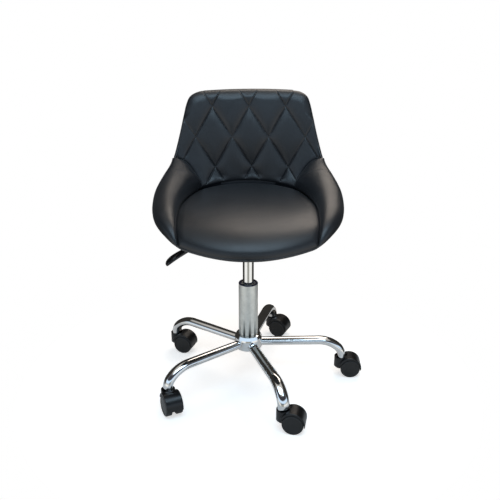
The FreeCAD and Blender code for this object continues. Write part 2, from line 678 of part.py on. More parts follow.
class Station:
    """One section plane: turns (x, height) into a point of the seat."""

    def __init__(self, row, shift=0.0):
        outer, inner, self.half, self.wide_h, self.seam_x, self.seam_h, self.ridge_h = row
        self.origin = Vector(0, outer[0], outer[1])
        self.rise = Vector(0, inner[0] - outer[0], inner[1] - outer[1])
        self.depth = self.rise.Length
        self.rise.normalize()
        along = self.rise.cross(Vector(1, 0, 0))
        self.origin = self.origin + along * shift

    def at(self, x, height):
        return self.origin + Vector(x, 0, 0) + self.rise * height

    def wall_points(self, inset, x_from, x_to, count):
        """Points of the outer wall, moved in by `inset`, evenly turned round it."""
        half = self.half - inset
        turns = []
        for x in (x_from, x_to):
            share = min(1.0, abs(x) / half) ** (OUTER_FULLNESS / 2)
            turns.append(math.copysign(math.asin(share), x))
        points = []
        for index in range(count):
            turn = turns[0] + (turns[1] - turns[0]) * index / (count - 1)
            x = half * math.copysign(abs(math.sin(turn)) ** (2 / OUTER_FULLNESS), turn)
            wide = self.wide_h - inset
            points.append(self.at(x, inset + wide * (1 - math.cos(turn))))
        return points


def curve(points):
    line = Part.BSplineCurve()
    line.interpolate(points)
    return line.toShape()


def closed_section(first, second):
    """Two open curves joined at their ends by straight edges."""
    return Part.Wire([
        curve(first),
        Part.LineSegment(first[-1], second[0]).toShape(),
        curve(second),
        Part.LineSegment(second[-1], first[0]).toShape(),
    ])


def skin_section(station, inset, thickness, reach):
    """A U-shaped wall between two insets, its edges just under the widest point."""
    outside_x = (station.half - inset) * reach
    inside_x = (station.half - inset - thickness) * reach
    outside = station.wall_points(inset, -outside_x, outside_x, WALL_POINTS)
    inside = station.wall_points(inset + thickness, inside_x, -inside_x, WALL_POINTS)
    return closed_section(outside, inside)


def pad_section(station, inset):
    """A cushion from seam to seam, between the shell and the sitting surface."""
    reach = min(station.seam_x, (station.half - inset) * EDGE_REACH)
    bottom = station.wall_points(inset, -reach, reach, WALL_POINTS)
    top = []
    for index in range(PAD_POINTS):
        share = 1.0 - 2.0 * index / (PAD_POINTS - 1)
        height = station.depth + (station.seam_h - station.depth) * share ** 2
        top.append(station.at(share * station.seam_x, height))
    return closed_section(bottom, top)


def bolster_section(station, side, inset):
    """The roll along one side, from the seam over the shell's edge."""
    inner_x = station.seam_x + SEAM_GAP
    outer_x = station.half - 0.4
    rim_h = station.wide_h + 0.8
    ridge_x = outer_x - 0.22 * (outer_x - inner_x)
    ridge_x = ridge_x - min(8.0, 0.2 * (outer_x - inner_x))
    middle_x = 0.55 * inner_x + 0.45 * ridge_x
    shoulder_x = 0.2 * ridge_x + 0.8 * outer_x
    top = [
        station.at(side * inner_x, station.seam_h - 1.0),
        station.at(side * middle_x, 0.5 * (station.seam_h + station.ridge_h)),
        station.at(side * ridge_x, station.ridge_h),
        station.at(side * shoulder_x, 0.5 * (station.ridge_h + rim_h) + 2),
        station.at(side * outer_x, rim_h + 0.5),
    ]
    wall_x = (station.half - inset) * EDGE_REACH
    low = station.wall_points(inset, side * wall_x, side * inner_x, PAD_POINTS)
    low[0] = station.at(side * (wall_x - 0.3), rim_h)
    return closed_section(top, low)


def loft(sections):
    return Part.makeLoft(sections, True, False)


def clear_of(pad, neighbours):
    """The main piece of a pad, cut where it would touch its neighbours."""
    for other in neighbours:
        pad = pad.cut(other)
    return max(pad.Solids, key=lambda solid: solid.Volume)


def top_corners():
    """What is cut off outside the two round top corners of the back."""
    lean = math.radians(EDGE_LEAN)
    reach = 3 * CORNER_R
    centre = Vector(CORNER_X, 100, CORNER_Z)
    outline = [
        centre,
        centre + Vector(reach * math.cos(lean), 0, reach * math.sin(lean)),
        centre + Vector(reach, 0, reach),
        centre + Vector(0, 0, reach),
    ]
    wedge = Part.Face(Part.makePolygon(outline + [centre])).extrude(Vector(0, 200, 0))
    corner = wedge.cut(Part.makeCylinder(CORNER_R, 202, centre - Vector(0, 1, 0), Vector(0, 1, 0)))
    return Part.makeCompound([corner, corner.mirror(Vector(0, 0, 0), Vector(1, 0, 0))])


def build_seat():
    stations = [Station(row) for row in STATIONS]
    shell_inset = COVER_THICK + SKIN_GAP
    foam_inset = shell_inset + SHELL_THICK + FOAM_GAP
    cover = loft([skin_section(s, 0, COVER_THICK, EDGE_REACH) for s in stations])
    shell = loft([skin_section(s, shell_inset, SHELL_THICK, SHELL_REACH) for s in stations])
    corners = top_corners()
    cover = cover.cut(corners)
    shell = shell.cut(corners)
    for x, y in bolt_places():
        cover = cover.cut(cylinder(NUT_R + 1.0, PLATE_TOP_Z, NUT_TOP_Z + 20, x, y))
        shell = shell.cut(cylinder(NUT_R + SEAT_GAP, PLATE_TOP_Z, NUT_TOP_Z + 20, x, y))
    export("outer_cover", cover)
    export("seat_shell", shell)

    seat_rows = stations[:CREASE] + [Station(STATIONS[CREASE], -CREASE_GAP)]
    seat = clear_of(loft([pad_section(s, foam_inset) for s in seat_rows]), [shell])
    export("seat_cushion", seat)
    back_rows = [Station(STATIONS[CREASE], CREASE_GAP)] + stations[CREASE + 1:]
    back = clear_of(loft([pad_section(s, foam_inset) for s in back_rows]), [shell, corners])
    export("back_cushion", back)
    for side, name in ((-1, "bolster_left"), (1, "bolster_right")):
        rows = stations[BOLSTER_FIRST:BOLSTER_LAST + 1]
        bolster = loft([bolster_section(s, side, foam_inset) for s in rows])
        export(name, clear_of(bolster, [seat, back, shell]))


build_base()
build_casters()
build_gas_lift()
build_plate_and_lever()
build_seat()
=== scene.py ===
import json
import math

import bpy
import numpy as np
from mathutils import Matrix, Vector
from mathutils.kdtree import KDTree


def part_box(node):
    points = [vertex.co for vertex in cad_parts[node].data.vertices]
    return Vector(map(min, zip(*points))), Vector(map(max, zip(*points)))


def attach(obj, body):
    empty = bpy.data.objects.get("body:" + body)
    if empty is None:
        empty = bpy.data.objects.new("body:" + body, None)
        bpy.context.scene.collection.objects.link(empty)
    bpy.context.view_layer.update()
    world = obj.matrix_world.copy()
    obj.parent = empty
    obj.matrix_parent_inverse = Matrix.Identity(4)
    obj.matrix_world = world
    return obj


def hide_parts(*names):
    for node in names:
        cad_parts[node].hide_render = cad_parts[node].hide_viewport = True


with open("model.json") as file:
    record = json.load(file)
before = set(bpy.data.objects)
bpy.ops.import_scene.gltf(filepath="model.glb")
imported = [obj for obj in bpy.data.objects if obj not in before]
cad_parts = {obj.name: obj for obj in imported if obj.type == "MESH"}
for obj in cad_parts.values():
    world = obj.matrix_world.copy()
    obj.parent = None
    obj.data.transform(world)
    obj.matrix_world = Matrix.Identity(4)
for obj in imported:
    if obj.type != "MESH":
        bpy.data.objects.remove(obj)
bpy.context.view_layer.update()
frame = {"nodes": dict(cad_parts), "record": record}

MM = 0.001
SEAT_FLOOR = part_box("outer_cover")[0].z / MM     # the seat's underside, in millimetres

# ---------------------------------------------------------------- the seat's lines
# Millimetres: x from the middle, y from the column's axis, z over the seat's underside.
# Each row is a key, the inner seam, the rim (the widest line) and how far the roll
# between them stands up. Key 7 is the corner where seat, back and side meet.
SIDE_ROWS = (
    (0.0, (158, -160, 20), (158, -160, 20), 0),
    (0.5, (160.5, -147, 37), (175, -147, 29.5), 5),
    (1.0, (163, -130, 50), (190, -130, 39), 10),
    (2.0, (165.5, -90, 63), (216, -90, 55.5), 17),
    (3.0, (166, -45, 68.5), (228, -45, 68), 21),
    (4.0, (163, 2, 70), (231.5, 2, 80.5), 25),
    (5.0, (155, 45, 71), (230, 38, 92.5), 29),
    (6.0, (142, 86, 72.5), (222.5, 72, 107.5), 31),
    (7.0, (123, 120, 75), (212, 98, 123), 31),
    (8.0, (128, 127, 89.5), (205.5, 110, 131), 27),
    (9.0, (143, 137, 113.5), (199.5, 121, 139.5), 20),
    (10.0, (160, 142, 135), (195.5, 129, 147.5), 12),
    (11.0, (177, 140.5, 146), (194.3, 131.5, 151), 5),
    (12.0, (193.5, 134, 154), (193.5, 134, 154), 0),
)
CORNER_KEY = 7.0
TIP_KEY = 12.0
# The seat's middle line at the same keys: y, z.
SEAT_MIDDLE = (
    (0.0, -214, 9), (0.5, -206, 26), (1.0, -187, 42.5), (2.0, -132, 63.5), (3.0, -64, 74),
    (4.0, -3, 78.5), (5.0, 56, 80), (6.0, 110, 82), (7.0, 150, 86),
)
# The back's side edge above the bolsters: x, y, z, up to the round top corner.
BACK_EDGE = (
    (193.5, 134, 154), (189.5, 145, 166), (183, 160, 190), (175, 174, 222),
    (169, 182, 248), (163.5, 189, 272), (158.5, 193.5, 288), (152, 197, 298.5),
    (142.5, 200, 306.5), (130, 202.5, 311.5), (116, 204, 313.5),
)
# The back's face by height: height, y on the middle line, and how far the face has
# come forward at FACE_REACH from the middle.
BACK_FACE_ROWS = (
    (60, 143, 44), (75, 148, 40), (89, 151, 35), (113, 154.5, 22.5), (135, 157, 15),
    (154, 159.5, 10.5), (190, 164.5, 6.5), (222, 170.5, 5), (248, 176.5, 5.5), (290, 188, 7),
    (330, 201, 12),
)
FACE_REACH = 160.0
# The outside skin's middle line under and behind: y, z, for keys along the rim.
UNDER_MIDDLE = (
    (0.0, -158, 0.3), (1.0, -128, 0), (2.0, -88, 0), (3.0, -43, 0), (4.0, 4, 0),
    (5.0, 48, 0.4), (6.0, 92, 3), (7.0, 134, 11.5), (8.0, 161, 26), (9.0, 180, 46),
    (10.0, 192, 68), (11.0, 200, 92), (12.0, 206, 118),
)
# The same skin behind the back: share of the way up its side edge, y, z.
BACK_OUTSIDE = (
    (0.0, 206, 118), (0.12, 210, 146), (0.3, 216, 186), (0.5, 221, 226),
    (0.68, 224.5, 262), (0.82, 226, 286), (0.92, 225.5, 302), (1.0, 219, 314.5),
)
# The front lip, from its tip on the middle line out to where the side rows start.
FRONT_TIP_Y = -214.0
FRONT_TIP_Z = 9.0
FRONT_CORNER = (158.0, -160.0, 20.0)
FRONT_BULGE = 2.5         # the lip's underside bows back this far half way out
FRONT_LOW_Z = 0.3

# ---- seat pad
SEAT_SINK = 5.0           # its border lies this far below the seam's line
SEAT_CROWN = 6.5
SEAT_CROWN_REACH = 20.0
SEAT_THICK = 16.0
CREASE_DIP = 2.5          # the seat dips this much into the crease
SEAT_TUCK = (0.0, 9.0, -9.0)    # and goes on down behind it

# ---- back pad
BACK_THICK = 16.0
BACK_TUCK = (0.0, -1.0, -16.0)
BACK_ROLL = 6.0           # how far its border turns back along the bolsters
EDGE_ROLL = 16.0          # and along the back's free edge
TOP_FLAT_Z = 285.0        # from here up the border turns straight back, not down
TOP_TILT = 0.008          # the back's top edge rises a little to one side
TOP_ROLL = ((4.0, 0.2), (8.0, 0.2), (12.0, 0.0), (16.0, -1.4))  # further back, up

# ---- diamond quilting
DIAMOND_WIDTH = 95.0
DIAMOND_HEIGHT = 154.0
DIAMOND_X = 1.3           # a crossing of two lines
DIAMOND_Z = 278.0
DIAMOND_DRIFT = 0.05      # the crossings move sideways on the way down
QUILT_DEPTH = 6.2         # how far the lines pull the padding in
QUILT_REACH = 11.0
PUFF = 1.4
GROOVE_DEPTH = 2.2        # the sewn line itself
GROOVE_WIDTH = 1.5
STITCH_STEP = 5.6
STITCH_LENGTH = 3.8
STITCH_RADIUS = 0.42
STITCH_PROUD = 0.15
STITCH_SIDES = 6
STITCH_RINGS = ((-1.0, 0.35), (-0.55, 1.0), (0.55, 1.0), (1.0, 0.35))  # along, size

# ---- bolsters
BOLSTER_CROWN = 2.5
BOLSTER_SINK = 1.2
BOLSTER_THICK = 6.0

# ---- outside cover and the shell in it
COVER_THICK = 3.0
COVER_EDGE = 2.2          # how far the cover's edge turns in
SHELL_INSET = 4.0
SHELL_THICK = 5.0
SHELL_PART = np.s_[14:-6, 6:-6]   # the shell stops short of the cover's edges


class Spline:
    """A natural cubic spline through keyed points of any dimension."""

    def __init__(self, keys, points):
        self.keys = np.array(keys, float)
        self.points = np.array(points, float).reshape(len(keys), -1)
        count = len(keys)
        steps = np.diff(self.keys)
        matrix = np.eye(count)
        right = np.zeros_like(self.points)
        for i in range(1, count - 1):
            matrix[i, i - 1] = steps[i - 1]
            matrix[i, i] = 2 * (steps[i - 1] + steps[i])
            matrix[i, i + 1] = steps[i]
            slopes = (self.points[i + 1] - self.points[i]) / steps[i]
            slopes = slopes - (self.points[i] - self.points[i - 1]) / steps[i - 1]
            right[i] = 6 * slopes
        self.bends = np.linalg.solve(matrix, right)

    def __call__(self, key):
        key = np.atleast_1d(np.asarray(key, float))
        index = np.clip(np.searchsorted(self.keys, key) - 1, 0, len(self.keys) - 2)
        step = (self.keys[index + 1] - self.keys[index])[:, None]
        low = (self.keys[index + 1] - key)[:, None]
        high = (key - self.keys[index])[:, None]
        bend0, bend1 = self.bends[index], self.bends[index + 1]
        value0, value1 = self.points[index], self.points[index + 1]
        return (
            bend0 * low ** 3 / (6 * step) + bend1 * high ** 3 / (6 * step)
            + (value0 / step - bend0 * step / 6) * low
            + (value1 / step - bend1 * step / 6) * high
        )


def smooth(t):
    """0 below 0 and 1 above 1, with a soft rise between."""
    t = np.clip(t, 0, 1)
    return t * t * (3 - 2 * t)


def row_keys(rows):
    return [row[0] for row in rows]


SEAT_SEAM = Spline(
    [r[0] for r in SIDE_ROWS if r[0] <= CORNER_KEY],
    [r[1] for r in SIDE_ROWS if r[0] <= CORNER_KEY],
)
BACK_SEAM = Spline(
    [r[0] for r in SIDE_ROWS if r[0] >= CORNER_KEY],
    [r[1] for r in SIDE_ROWS if r[0] >= CORNER_KEY],
)
RIM = Spline(row_keys(SIDE_ROWS), [r[2] for r in SIDE_ROWS])
ROLL = Spline(row_keys(SIDE_ROWS), [r[3] for r in SIDE_ROWS])
SEAT_LINE = Spline(row_keys(SEAT_MIDDLE), [r[1:] for r in SEAT_MIDDLE])
UNDER_LINE = Spline(row_keys(UNDER_MIDDLE), [r[1:] for r in UNDER_MIDDLE])
BACK_SIDE = Spline(np.linspace(0, 1, len(BACK_EDGE)), BACK_EDGE)
BACK_FACE = Spline(row_keys(BACK_FACE_ROWS), [r[1:] for r in BACK_FACE_ROWS])
BACK_REAR = Spline(row_keys(BACK_OUTSIDE), [r[1:] for r in BACK_OUTSIDE])


def inner_seam(key):
    """The seam between the pads and the bolsters, with a corner at CORNER_KEY."""
    key = np.atleast_1d(np.asarray(key, float))
    seat = SEAT_SEAM(np.minimum(key, CORNER_KEY))
    back = BACK_SEAM(np.maximum(key, CORNER_KEY))
    return np.where((key <= CORNER_KEY)[:, None], seat, back)


# ---------------------------------------------------------------- mesh making

def to_frame(points):
    """Seat millimetres to the frame's metres."""
    return (np.asarray(points, float) + np.array([0, 0, SEAT_FLOOR])) * MM


def grid_normals(grid):
    """Unit normals at every point of a grid."""
    du = np.gradient(grid, axis=1)
    dv = np.gradient(grid, axis=0)
    normal = np.cross(du, dv)
    length = np.linalg.norm(normal, axis=2, keepdims=True)
    return normal / np.maximum(length, 1e-9)


def add_piece(name, points, faces):
    """One smooth mesh object from seat millimetres."""
    mesh = bpy.data.meshes.new(name)
    mesh.from_pydata([tuple(p) for p in to_frame(points)], [], faces)
    mesh.validate()
    mesh.update()
    mesh.polygons.foreach_set("use_smooth", [True] * len(mesh.polygons))
    piece = bpy.data.objects.new(name, mesh)
    bpy.context.scene.collection.objects.link(piece)
    return piece


def slab(name, top, bottom):
    """A closed mesh between two grids of the same shape, in seat millimetres."""
    rows, columns = top.shape[:2]
    count = rows * columns
    verts = np.concatenate([top.reshape(-1, 3), bottom.reshape(-1, 3)])
    faces = []
    for r in range(rows - 1):
        for c in range(columns - 1):
            a = r * columns + c
            faces.append((a, a + 1, a + columns + 1, a + columns))
            b = a + count
            faces.append((b, b + columns, b + columns + 1, b + 1))
    border = list(range(columns))
    border += [r * columns + columns - 1 for r in range(1, rows)]
    border += [(rows - 1) * columns + c for c in range(columns - 2, -1, -1)]
    border += [r * columns for r in range(rows - 2, 0, -1)]
    for i, a in enumerate(border):
        b = border[(i + 1) % len(border)]
        faces.append((b, a, a + count, b + count))
    piece = add_piece(name, verts, faces)
    piece.data.set_sharp_from_angle(angle=math.radians(60))
    return piece


def clustered(count, power=1.6):
    """Values from -1 to 1, closer together towards both ends."""
    t = np.linspace(-1, 1, count)
    return np.sign(t) * (1 - (1 - np.abs(t)) ** power)


def border_distance(grid, lines):
    """How far each grid point is from the nearest of some border lines."""
    flat = grid.reshape(-1, 3)
    best = np.full(len(flat), 1e9)
    for line in lines:
        start, end = line[:-1], line[1:]
        run = end - start
        size = np.maximum((run ** 2).sum(1), 1e-9)
        for i in range(0, len(flat), 4000):
            part = flat[i:i + 4000]
            gap = part[:, None, :] - start[None]
            share = np.clip((gap * run[None]).sum(2) / size[None], 0, 1)
            off = gap - share[..., None] * run[None]
            best[i:i + 4000] = np.minimum(best[i:i + 4000], np.sqrt((off ** 2).sum(2)).min(1))
    return best.reshape(grid.shape[:2])


def edge_round(distance, reach):
    """0 at a seam, rising steeply and flattening to 1 at `reach`."""
    t = np.clip(distance / reach, 0, 1)
    return np.sqrt(np.maximum(1 - (1 - t) ** 2, 0))


def waves(grid, scale, seed):
    """A soft, repeatable unevenness from a few sine waves."""
    rng = np.random.default_rng(seed)
    total = np.zeros(grid.shape[:2])
    for _ in range(9):
        direction = rng.normal(size=3)
        direction /= np.linalg.norm(direction)
        phase = rng.uniform(0, 2 * math.pi)
        total += np.sin(grid @ direction * (2 * math.pi / (scale * rng.uniform(0.6, 1.6))) + phase)
    return total / 9


# ---------------------------------------------------------------- seat pad

def make_seat_pad():
    """A crowned cushion from seam to seam, rounded at its border."""
    keys = np.concatenate([
        np.linspace(CORNER_KEY, 6.4, 16)[:-1], np.linspace(6.4, 1.2, 90)[:-1],
        np.linspace(1.2, 0.0, 46),
    ])
    q = clustered(151, 1.35)[None, :]
    side = inner_seam(keys)
    middle = SEAT_LINE(keys)
    bow = 1 - q ** 2
    crown = 1 - np.abs(q) ** 2.6
    grid = np.stack([
        side[:, 0:1] * q,
        side[:, 1:2] + (middle[:, 0:1] - side[:, 1:2]) * bow,
        side[:, 2:3] + (middle[:, 1:2] - side[:, 2:3]) * crown,
    ], axis=2)
    normal = grid_normals(grid)
    normal *= np.sign(normal[len(keys) // 2, q.size // 2, 2])
    gap = border_distance(grid, [grid[:, 0], grid[:, -1], grid[0], grid[-1]])
    crease_gap = border_distance(grid, [grid[0]])
    lift = SEAT_CROWN * edge_round(gap, SEAT_CROWN_REACH) - SEAT_SINK
    lift -= CREASE_DIP * (1 - smooth(crease_gap / 20.0))
    lift += 0.5 * waves(grid, 120, 3) * smooth(gap / 30)
    top = grid + normal * lift[..., None]
    bottom = grid - normal * SEAT_THICK
    tuck = np.array(SEAT_TUCK)
    top = np.concatenate([top[:1] + tuck, top])
    bottom = np.concatenate([bottom[:1] + tuck * 0.9, bottom])
    return slab("seat_pad", top, bottom)


# ---------------------------------------------------------------- back pad

def back_sides(rows_low, rows_high):
    """The back pad's side line: the bolster seam, then the back's own edge."""
    low = inner_seam(np.linspace(CORNER_KEY, TIP_KEY, rows_low))
    high = BACK_SIDE(np.linspace(0, 1, rows_high) ** 0.9)
    return low, high


def back_face(x, z):
    """The y of the back's padded face before any rolls or quilting."""
    row = BACK_FACE(z.ravel())
    middle = row[:, 0].reshape(z.shape)
    forward = row[:, 1].reshape(z.shape)
    return middle - forward * (np.abs(x) / FACE_REACH) ** 2.2


def quilt_lines_distance(x, z):
    """How far each point is from the nearest quilting line of each of the two sets."""
    shifted = x - DIAMOND_X - (DIAMOND_Z - z) * DIAMOND_DRIFT
    first = shifted / DIAMOND_WIDTH + (z - DIAMOND_Z) / DIAMOND_HEIGHT
    second = shifted / DIAMOND_WIDTH - (z - DIAMOND_Z) / DIAMOND_HEIGHT
    rate = math.hypot(1 / DIAMOND_WIDTH, 1 / DIAMOND_HEIGHT)
    return [np.abs(v - np.round(v)) / rate for v in (first, second)]


def back_grid():
    """The back's face as a grid from side to side, the shares across, and its normals."""
    low, high = back_sides(90, 170)
    side = np.concatenate([low[:-1], high])
    q = clustered(261, 1.3)[None, :]
    x = side[:, 0:1] * q
    middle_z = side[:, 2:3] + 11.0 * (1 - smooth((side[:, 2:3] - 75) / 60)) + 3.0
    z = middle_z + (side[:, 2:3] - middle_z) * q ** 2
    z = z + TOP_TILT * x * smooth((z - 270) / 45)
    dy_dx = (back_face(x + 1, z) - back_face(x - 1, z)) / 2
    dy_dz = (back_face(x, z + 1) - back_face(x, z - 1)) / 2
    normal = np.stack([dy_dx, -np.ones_like(x), dy_dz], axis=2)
    normal /= np.linalg.norm(normal, axis=2, keepdims=True)
    normal[..., 2] *= 1 - smooth((z - TOP_FLAT_Z) / 15)
    return np.stack([x, back_face(x, z), z], axis=2), q, normal


def quilted_lift(grid, q):
    """How far the sewn padding stands off the face, and each point's room to a border."""
    x, z = grid[..., 0], grid[..., 2]
    gap = border_distance(grid, [grid[:, 0], grid[:, -1], grid[0], grid[-1]])
    crease_gap = border_distance(grid, [grid[0]])
    edge_gap = border_distance(grid, [grid[:, 0], grid[:, -1], grid[-1]])
    free = smooth((z - 138) / 30) * smooth((np.abs(q) - 0.2) / 0.4 + (z - 280) / 20)
    roll = BACK_ROLL + (EDGE_ROLL - BACK_ROLL) * free
    lift = -roll * (1 - edge_round(gap, 12.0 + 13.0 * free))
    inside = smooth((edge_gap - 4) / 22.0) * smooth((crease_gap - 3) / 16.0)
    sewn = smooth(edge_gap / 7.0) * smooth((crease_gap - 2) / 8.0)
    strength = 0.42 + 0.58 * smooth((150 - np.abs(x)) / 60) * smooth((306 - z) / 40)
    lines = quilt_lines_distance(x, z)
    pulls = [np.exp(-(line / QUILT_REACH) ** 1.3) for line in lines]
    grooves = [np.exp(-(line / GROOVE_WIDTH) ** 2) for line in lines]
    pull = 1 - (1 - pulls[0]) * (1 - pulls[1])
    lift -= QUILT_DEPTH * pull * strength * inside + GROOVE_DEPTH * np.maximum(*grooves) * sewn
    lift += PUFF * inside + 0.35 * waves(grid, 70, 5) * inside
    return lift, gap


def make_back_pad():
    """The quilted cushion and its threads."""
    grid, q, normal = back_grid()
    lift, gap = quilted_lift(grid, q)
    top = grid + normal * lift[..., None]
    stitches = make_stitches("back_stitches", quilt_stitch_runs(grid, top, gap))
    rear = grid * np.array([0.985, 1.0, 1.0]) + np.array([0.0, BACK_THICK, 0.0])
    tuck = np.array(BACK_TUCK)
    narrow = np.array([0.995, 1.0, 1.0])
    over = [top[-1:] * narrow + np.array([0.0, back, rise]) for back, rise in TOP_ROLL]
    under = [rear[-1:] + np.array([0.0, back * 0.6, 0.0]) for back, _ in TOP_ROLL]
    top = np.concatenate([top[:1] + tuck, top] + over)
    rear = np.concatenate([rear[:1] + tuck, rear] + under)
    return slab("back_pad", top, rear), stitches


def quilt_stitch_runs(grid, top, gap):
    """Stitch middles and directions along the quilting lines, on the sewn surface."""
    surface = top.reshape(-1, 3)
    room = gap.ravel()
    tree = KDTree(len(surface))
    for i, (x, _, z) in enumerate(grid.reshape(-1, 3)):
        tree.insert((x, z, 0.0), i)
    tree.balance()
    z = np.arange(grid[..., 2].min(), grid[..., 2].max(), 0.4)
    runs = []
    for sign in (1, -1):
        for count in range(-8, 9):
            x = DIAMOND_WIDTH * (count - sign * (z - DIAMOND_Z) / DIAMOND_HEIGHT)
            x += DIAMOND_X + (DIAMOND_Z - z) * DIAMOND_DRIFT
            direction = Vector((x[1] - x[0], 0.0, z[1] - z[0])).normalized()
            walked = np.concatenate([[0], np.cumsum(np.hypot(np.diff(x), np.diff(z)))])
            for place in np.arange(0, walked[-1], STITCH_STEP):
                at = (np.interp(place, walked, x), np.interp(place, walked, z), 0.0)
                _, index, off = tree.find(at)
                if off <= 1.6 and room[index] >= 6.0:
                    runs.append((surface[index], direction))
    return runs


def make_stitches(name, runs):
    """Short rounded threads, one small lozenge each."""
    points, faces = [], []
    out = Vector((0.0, -1.0, 0.15)).normalized()
    last = (len(STITCH_RINGS) - 1) * STITCH_SIDES
    for point, direction in runs:
        side = direction.cross(out).normalized()
        centre = Vector(point) + out * STITCH_PROUD
        base = len(points)
        for share, size in STITCH_RINGS:
            for turn in range(STITCH_SIDES):
                angle = turn * 2 * math.pi / STITCH_SIDES
                spoke = side * math.cos(angle) + out * math.sin(angle)
                along = direction * (share * STITCH_LENGTH / 2)
                points.append(centre + along + spoke * (STITCH_RADIUS * size))
        for row in range(0, last, STITCH_SIDES):
            for turn in range(STITCH_SIDES):
                a = base + row + turn
                b = base + row + (turn + 1) % STITCH_SIDES
                faces.append((a, b, b + STITCH_SIDES, a + STITCH_SIDES))
        faces.append(tuple(base + turn for turn in reversed(range(STITCH_SIDES))))
        faces.append(tuple(base + last + turn for turn in range(STITCH_SIDES)))
    return add_piece(name, points, faces)


# ---------------------------------------------------------------- bolsters

# The roll's section: share of the way from seam to rim, share of its height.
ROLL_PROFILE = Spline(
    (0.0, 0.12, 0.28, 0.46, 0.64, 0.82, 0.94, 1.0),
    ((0.0, 0.0), (0.045, 0.30), (0.16, 0.72), (0.36, 0.98), (0.60, 0.99), (0.83, 0.74),
     (0.965, 0.33), (1.0, 0.0)),
)


def steady_up(seam, rim):
    """Which way the roll stands at each key, evened out along its length."""
    span = rim - seam
    up = np.cross(span, np.gradient(0.5 * (rim + seam), axis=0))
    up /= np.maximum(np.linalg.norm(up, axis=1, keepdims=True), 1e-9)
    up *= np.sign(up[60, 2])
    sampled = up[np.linspace(2, len(up) - 3, 9).astype(int)]
    up = Spline(np.linspace(0, TIP_KEY, 9), sampled)(np.linspace(0, TIP_KEY, len(up)))
    return up / np.linalg.norm(up, axis=1, keepdims=True)


def make_bolster(sign, name):
    """The soft roll along one side; sign -1 is the mirror image."""
    keys = np.concatenate([
        np.linspace(0.03, 1.0, 26)[:-1], np.linspace(1.0, CORNER_KEY, 110)[:-1],
        np.linspace(CORNER_KEY, 11.96, 80),
    ])
    turns = np.linspace(0, 1, 56)
    seam = inner_seam(keys)
    rim = RIM(keys)
    roll = ROLL(keys)
    up = steady_up(seam, rim)
    grid = np.stack([
        seam + (rim - seam) * share + up * roll * height
        for share, height in ROLL_PROFILE(turns)
    ], axis=1)
    normal = grid_normals(grid)
    normal *= np.sign((normal[60, 28] * up[60]).sum())
    gap = border_distance(grid, [grid[:, 0], grid[:, -1]])
    lift = BOLSTER_CROWN * edge_round(gap, 9.0) - BOLSTER_SINK
    lift += 0.5 * waves(grid, 90, 11) * smooth(gap / 20)
    top = grid + normal * lift[..., None]
    centre = 0.5 * (seam + rim)[:, None, :]
    bottom = seam[:, None, :] + (rim - seam)[:, None, :] * turns[None, :, None]
    bottom = bottom - (up * (BOLSTER_THICK + 0.15 * roll))[:, None, :]
    bottom = centre + (bottom - centre) * 0.99
    if sign < 0:
        mirror = np.array([-1, 1, 1])
        top, bottom = (top * mirror)[:, ::-1], (bottom * mirror)[:, ::-1]
    return slab(name, top, bottom)


# ---------------------------------------------------------------- outside cover

def cover_rows():
    """Rim point, middle point and squareness of each section, front to top."""
    rim, middle, square = [], [], []
    corner_x, corner_y, corner_z = FRONT_CORNER
    for p in np.linspace(0.035, 1.0, 34)[:-1]:
        y = FRONT_TIP_Y + (corner_y - FRONT_TIP_Y) * p ** 2
        z = FRONT_TIP_Z + (corner_z - FRONT_TIP_Z) * p ** 2
        rim.append((corner_x * p, y, z))
        low_z = FRONT_LOW_Z + FRONT_TIP_Z * (1 - p) ** 4
        middle.append((y + FRONT_BULGE * math.sin(math.pi * p), low_z))
        square.append(3.0)
    for key in np.linspace(0, TIP_KEY, 130)[:-1]:
        rim.append(tuple(RIM(key)[0]))
        middle.append(tuple(UNDER_LINE(key)[0]))
        square.append(3.0 + 0.6 * float(smooth((key - 8) / 4)))
    edge_low, edge_high = BACK_EDGE[0][2], BACK_EDGE[-1][2]
    for share in np.linspace(0, 1, 80):
        edge = BACK_SIDE(share ** 0.9)[0]
        rim.append(tuple(edge))
        middle.append(tuple(BACK_REAR((edge[2] - edge_low) / (edge_high - edge_low))[0]))
        square.append(3.6 + 1.2 * share)
    return np.array(rim), np.array(middle), np.array(square)


def make_outer_cover():
    """The outside skin, and the moulded shell that follows it from inside."""
    rim, middle, square = cover_rows()
    turns = np.linspace(-1, 1, 141)[None, :] * math.pi / 2
    across = np.sign(turns) * np.abs(np.sin(turns)) ** (2.0 / square[:, None])
    height = 1 - np.cos(turns)
    grid = np.stack([
        across * rim[:, 0:1],
        middle[:, 0:1] + (rim[:, 1:2] - middle[:, 0:1]) * height,
        middle[:, 1:2] + (rim[:, 2:3] - middle[:, 1:2]) * height,
    ], axis=2)
    normal = grid_normals(grid)
    normal *= -np.sign(normal[90, 70, 2])
    gap = border_distance(grid, [grid[:, 0], grid[:, -1], grid[-1]])
    lift = 0.4 * waves(grid, 160, 21) * smooth(gap / 30)
    lift -= COVER_EDGE * (1 - edge_round(gap, 9.0))
    top = grid + normal * lift[..., None]
    cover = slab("outer_upholstery", top - normal * COVER_THICK, top)
    outside = (top - normal * SHELL_INSET)[SHELL_PART]
    inside = (top - normal * (SHELL_INSET + SHELL_THICK))[SHELL_PART]
    return cover, slab("bucket_shell", inside, outside)


# ---------------------------------------------------------------- materials

